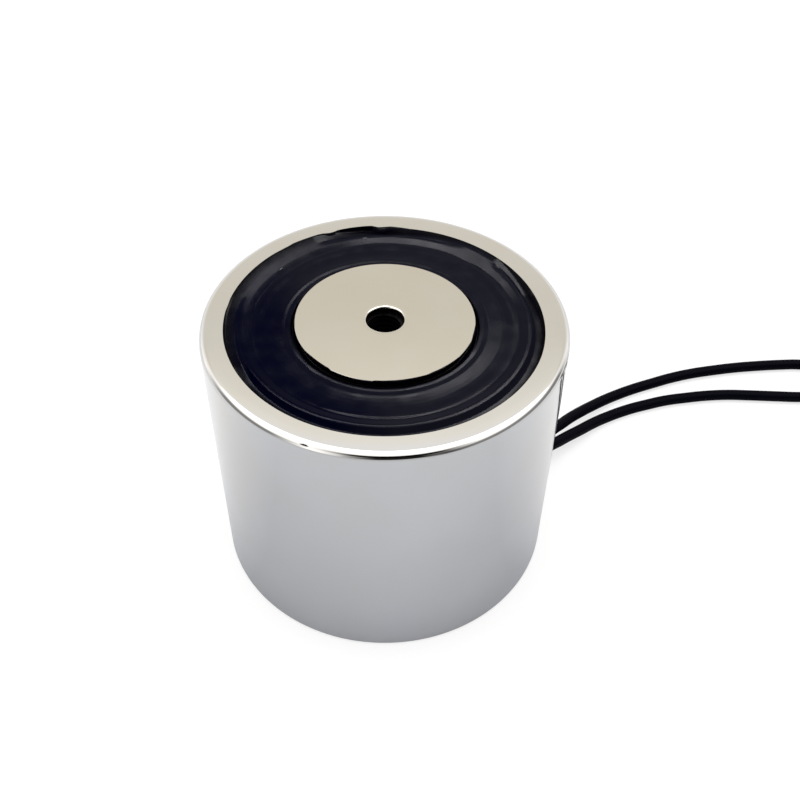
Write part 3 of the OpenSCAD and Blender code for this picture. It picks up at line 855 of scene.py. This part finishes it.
dress(cupPiece, nickel("nickel_on_turned_cup", tints=("#dbd9d6", "#d9d6d1"), rough=0.06, ringMm=0.25,
                       ringDepth=0.0003))
dress(corePiece, nickel("nickel_on_ground_core", tints=("#d8d5ce", "#d6d1c6"), rough=0.1, ringMm=0.2,
                        ringDepth=0.0005))
dressNick(shadedSteel("nick_painted_shade", "#2c2c2c", "#4a4846"))
dressBore()
dressAll([resinPiece] + filmPieces, epoxy())
dress(fleckPiece, lint())
dressAll([startLead, finishLead], pvc())
dress(tieStrip, tiePlastic())
# what the resin hides keeps its CAD shape
dressAll([startTip, finishTip, inside["start_splice"], inside["finish_splice"]], tinnedCopper())
dress(inside["bobbin"], nylon())
dressAll([inside["coil_winding"], inside["start_tail"], inside["finish_tail"]], enamelledCopper())
dress(inside["coil_tape"], polyesterFilm())
dressAll([inside["start_sleeve"], inside["finish_sleeve"]], wovenSleeve())
print("materials set")


# Studio: a pale table, a wide softbox overhead, a cream room, and the dark behind the camera
studio = {
    "turn": -24,                     # degrees, the way that the camera looks from
    "softboxHeight": 0.65, "softboxBack": 0.065, "softboxWide": 1.5, "softboxDeep": 0.55, "softboxGlow": 1.6,
    "lampHeight": 0.55, "lampSize": 0.1, "lampGlow": 10,
    # an arch of strips past the object: bearings from straight behind it and elevations
    "strips": [(-24, 51.5), (-30, 59.5), (-27, 67), (0, 71), (27, 66), (34, 56)],
    "stripAway": 0.65, "stripWide": 0.18, "stripDeep": 0.09, "stripGlow": 50,
    "tableSize": 1.6, "tableColour": "#d6dae1", "tableSeen": "#a0a0a0", "tableGlow": 0.7,
    # a painted shadow darkens the table near the object's foot, and painted light makes it paler towards the
    # sides; both show in reflections
    "tableFootShadow": "#c4c8d1", "footShadowReach": (0.03, 0.075),
    "tableSidesLight": "#f2f3f5", "sidesLightReach": (-0.3, 0.55),   # how far they face the camera
    # the cream wall and ceiling past the object, by elevation in degrees
    "wall": [(0, "#ffffff"), (20, "#f4f3f1"), (32, "#e5e1d7"), (40, "#e3dfd5"), (47, "#fbf8f0"),
             (51, "#fbfbfb"), (90, "#f9fbfe")],
    "wallGlow": 1.1,
    "windowGlow": 1.5,               # white windows on the camera's side
    "windowReach": (-0.75, -0.35),   # how far a bearing faces the camera where they set in
    # what stands dark there: turn to the camera's right, elevations where it sets in and ends, bearings
    # that it spans to each side, brightness left
    "patches": [
        {"turn": 7, "low": (26, 31), "high": (46, 53), "core": 25, "wide": 50, "level": 0.02},
        {"turn": 7, "low": (1, 5), "high": (46, 53), "core": 12, "wide": 32, "level": 0.02},
        {"turn": 7, "low": (-6, -3), "high": (26, 31), "core": 28, "wide": 42, "level": 0.5},
        {"turn": 72, "low": (-12, -6), "high": (20, 33), "core": 40, "wide": 54, "level": 0.2},
        {"turn": -80, "low": (-12, -6), "high": (20, 33), "core": 16, "wide": 38, "level": 0.2}],
    "fill": 0.5,                     # the room's light on matt surfaces
}


# The level direction that a turn from straight to the front stands for
def headingOf(turn):
    a = radians(turn)
    return (sin(a), -cos(a), 0)


def addSoftbox(name, spot, aim, wide, deep, glow):
    data = bpy.data.lights.new(name, "AREA")
    data.shape = "RECTANGLE"
    data.size = wide
    data.size_y = deep
    data.energy = glow * pi * wide * deep     # watts for that brightness
    light = bpy.data.objects.new(name, data)
    light.location = spot
    light.rotation_euler = aim
    scene.collection.objects.link(light)
    return light


def lightRoom():
    world = bpy.data.worlds.new("studio_room")
    scene.world = world
    world.use_nodes = True
    tree = world.node_tree
    tree.nodes.clear()
    toward = addNode(tree, "TexCoord").outputs["Generated"]
    split = addNode(tree, "SeparateXYZ", {0: toward})
    up = split.outputs[2]
    walls = addNode(tree, "ValToRGB", {"Fac": up})
    stops = walls.color_ramp.elements
    stops.remove(stops[1])
    for elevation, colour in studio["wall"]:
        stop = stops.new(sin(radians(elevation))) if elevation else stops[0]
        stop.color = fromHex(colour)
    level = addNode(tree, "CombineXYZ", {0: split.outputs[0], 1: split.outputs[1]})
    heading = addNode(tree, "VectorMath", {0: level.outputs[0]}, operation="NORMALIZE")
    facing = addNode(tree, "VectorMath", {0: heading.outputs[0], 1: headingOf(studio["turn"])},
                     operation="DOT_PRODUCT")
    windowSide = addNode(tree, "MapRange", {"Value": facing.outputs["Value"],
                                            "From Min": studio["windowReach"][0],
                                            "From Max": studio["windowReach"][1]})
    light = addNode(tree, "Value")
    light.outputs[0].default_value = studio["windowGlow"]
    for patch in studio["patches"]:
        toPatch = headingOf(studio["turn"] + patch["turn"])
        facing = addNode(tree, "VectorMath", {0: heading.outputs[0], 1: toPatch}, operation="DOT_PRODUCT")
        rise = addNode(tree, "MapRange", {"Value": up, "From Min": sin(radians(patch["low"][0])),
                                          "From Max": sin(radians(patch["low"][1]))})
        fall = addNode(tree, "MapRange", {"Value": up, "From Min": sin(radians(patch["high"][0])),
                                          "From Max": sin(radians(patch["high"][1])),
                                          "To Min": 1.0, "To Max": 0.0})
        near = addNode(tree, "MapRange", {"Value": facing.outputs["Value"],
                                          "From Min": cos(radians(patch["wide"])),
                                          "From Max": cos(radians(patch["core"]))})
        band = addNode(tree, "Math", {0: rise.outputs[0], 1: fall.outputs[0]}, operation="MULTIPLY")
        cover = addNode(tree, "Math", {0: band.outputs[0], 1: near.outputs[0]}, operation="MULTIPLY")
        left = addNode(tree, "MapRange", {"Value": cover.outputs[0], "To Min": 1.0, "To Max": patch["level"]})
        light = addNode(tree, "Math", {0: light.outputs[0], 1: left.outputs[0]}, operation="MULTIPLY")
    wall = addNode(tree, "Background", {"Color": walls.outputs[0], "Strength": studio["wallGlow"]})
    window = addNode(tree, "Background", {"Color": (1, 1, 1, 1), "Strength": light.outputs[0]})
    room = addNode(tree, "MixShader", {0: windowSide.outputs[0], 1: wall.outputs[0], 2: window.outputs[0]})
    fill = addNode(tree, "Background", {"Color": (1, 1, 1, 1), "Strength": studio["fill"]})
    seen = addNode(tree, "Background", {"Color": (1, 1, 1, 1), "Strength": 1.0})
    path = addNode(tree, "LightPath")
    matt = addNode(tree, "MixShader", {0: path.outputs["Is Glossy Ray"], 1: fill.outputs[0],
                                       2: room.outputs[0]})
    mix = addNode(tree, "MixShader", {0: path.outputs["Is Camera Ray"], 1: matt.outputs[0],
                                      2: seen.outputs[0]})
    addNode(tree, "OutputWorld", {"Surface": mix.outputs[0]})


def layTable():
    bm = bmesh.new()
    bmesh.ops.create_grid(bm, x_segments=1, y_segments=1, size=studio["tableSize"] / 2)
    table = finishMesh(bm, "table_top")
    material, tree, where = newMaterial("pale_table")
    away = addNode(tree, "VectorMath", {0: where}, operation="LENGTH").outputs["Value"]
    heading = addNode(tree, "VectorMath", {0: where}, operation="NORMALIZE").outputs[0]
    facing = addNode(tree, "VectorMath", {0: heading, 1: headingOf(studio["turn"])}, operation="DOT_PRODUCT")
    front = addNode(tree, "MapRange", {"Value": facing.outputs["Value"], "From Min": studio["sidesLightReach"][0],
                                       "From Max": studio["sidesLightReach"][1]})
    # painted shadow near the foot and painted light on the sides
    footShadow = addNode(tree, "MapRange", {"Value": away, "From Min": studio["footShadowReach"][0],
                                      "From Max": studio["footShadowReach"][1]})
    near = addNode(tree, "MixRGB", {0: footShadow.outputs[0], 1: fromHex(studio["tableFootShadow"]),
                                    2: fromHex(studio["tableColour"])})
    colour = addNode(tree, "MixRGB", {0: front.outputs[0], 1: fromHex(studio["tableSidesLight"]),
                                      2: near.outputs[0]})
    laminate = addNode(tree, "BsdfDiffuse", {"Color": colour.outputs[0]})
    white = addNode(tree, "BsdfDiffuse", {"Color": fromHex(studio["tableSeen"])})
    glow = addNode(tree, "Emission", {"Color": (1, 1, 1, 1), "Strength": studio["tableGlow"]})
    seen = addNode(tree, "AddShader", {0: white.outputs[0], 1: glow.outputs[0]})
    path = addNode(tree, "LightPath")
    mix = addNode(tree, "MixShader", {0: path.outputs["Is Camera Ray"], 1: laminate.outputs[0],
                                      2: seen.outputs[0]})
    addNode(tree, "OutputMaterial", {"Surface": mix.outputs[0]})
    dress(table, material)


def lightStudio():
    turn = radians(studio["turn"])
    back = Vector((-sin(turn), cos(turn), 0))
    above = Vector((0, 0, 1))
    addSoftbox("softbox", back * studio["softboxBack"] + above * studio["softboxHeight"], (0, 0, turn),
               studio["softboxWide"], studio["softboxDeep"], studio["softboxGlow"])
    addSoftbox("lamp", above * studio["lampHeight"], (0, 0, turn), studio["lampSize"], studio["lampSize"],
               studio["lampGlow"])
    # the strips only draw highlights along the resin's ridges
    resinOnly = bpy.data.collections.new("resin_only")
    for piece in [resinPiece] + filmPieces:
        resinOnly.objects.link(piece)
    for bearing, elevation in studio["strips"]:
        a, e = turn + radians(bearing), radians(elevation)
        toward = Vector((-sin(a) * cos(e), cos(a) * cos(e), sin(e)))
        aim = (-toward).to_track_quat("-Z", "Y").to_euler()
        strip = addSoftbox("strip", toward * studio["stripAway"], aim, studio["stripWide"],
                           studio["stripDeep"], studio["stripGlow"])
        strip.visible_diffuse = False
        strip.light_linking.receiver_collection = resinOnly
    lightRoom()
    layTable()


lightStudio()
print("studio lit")
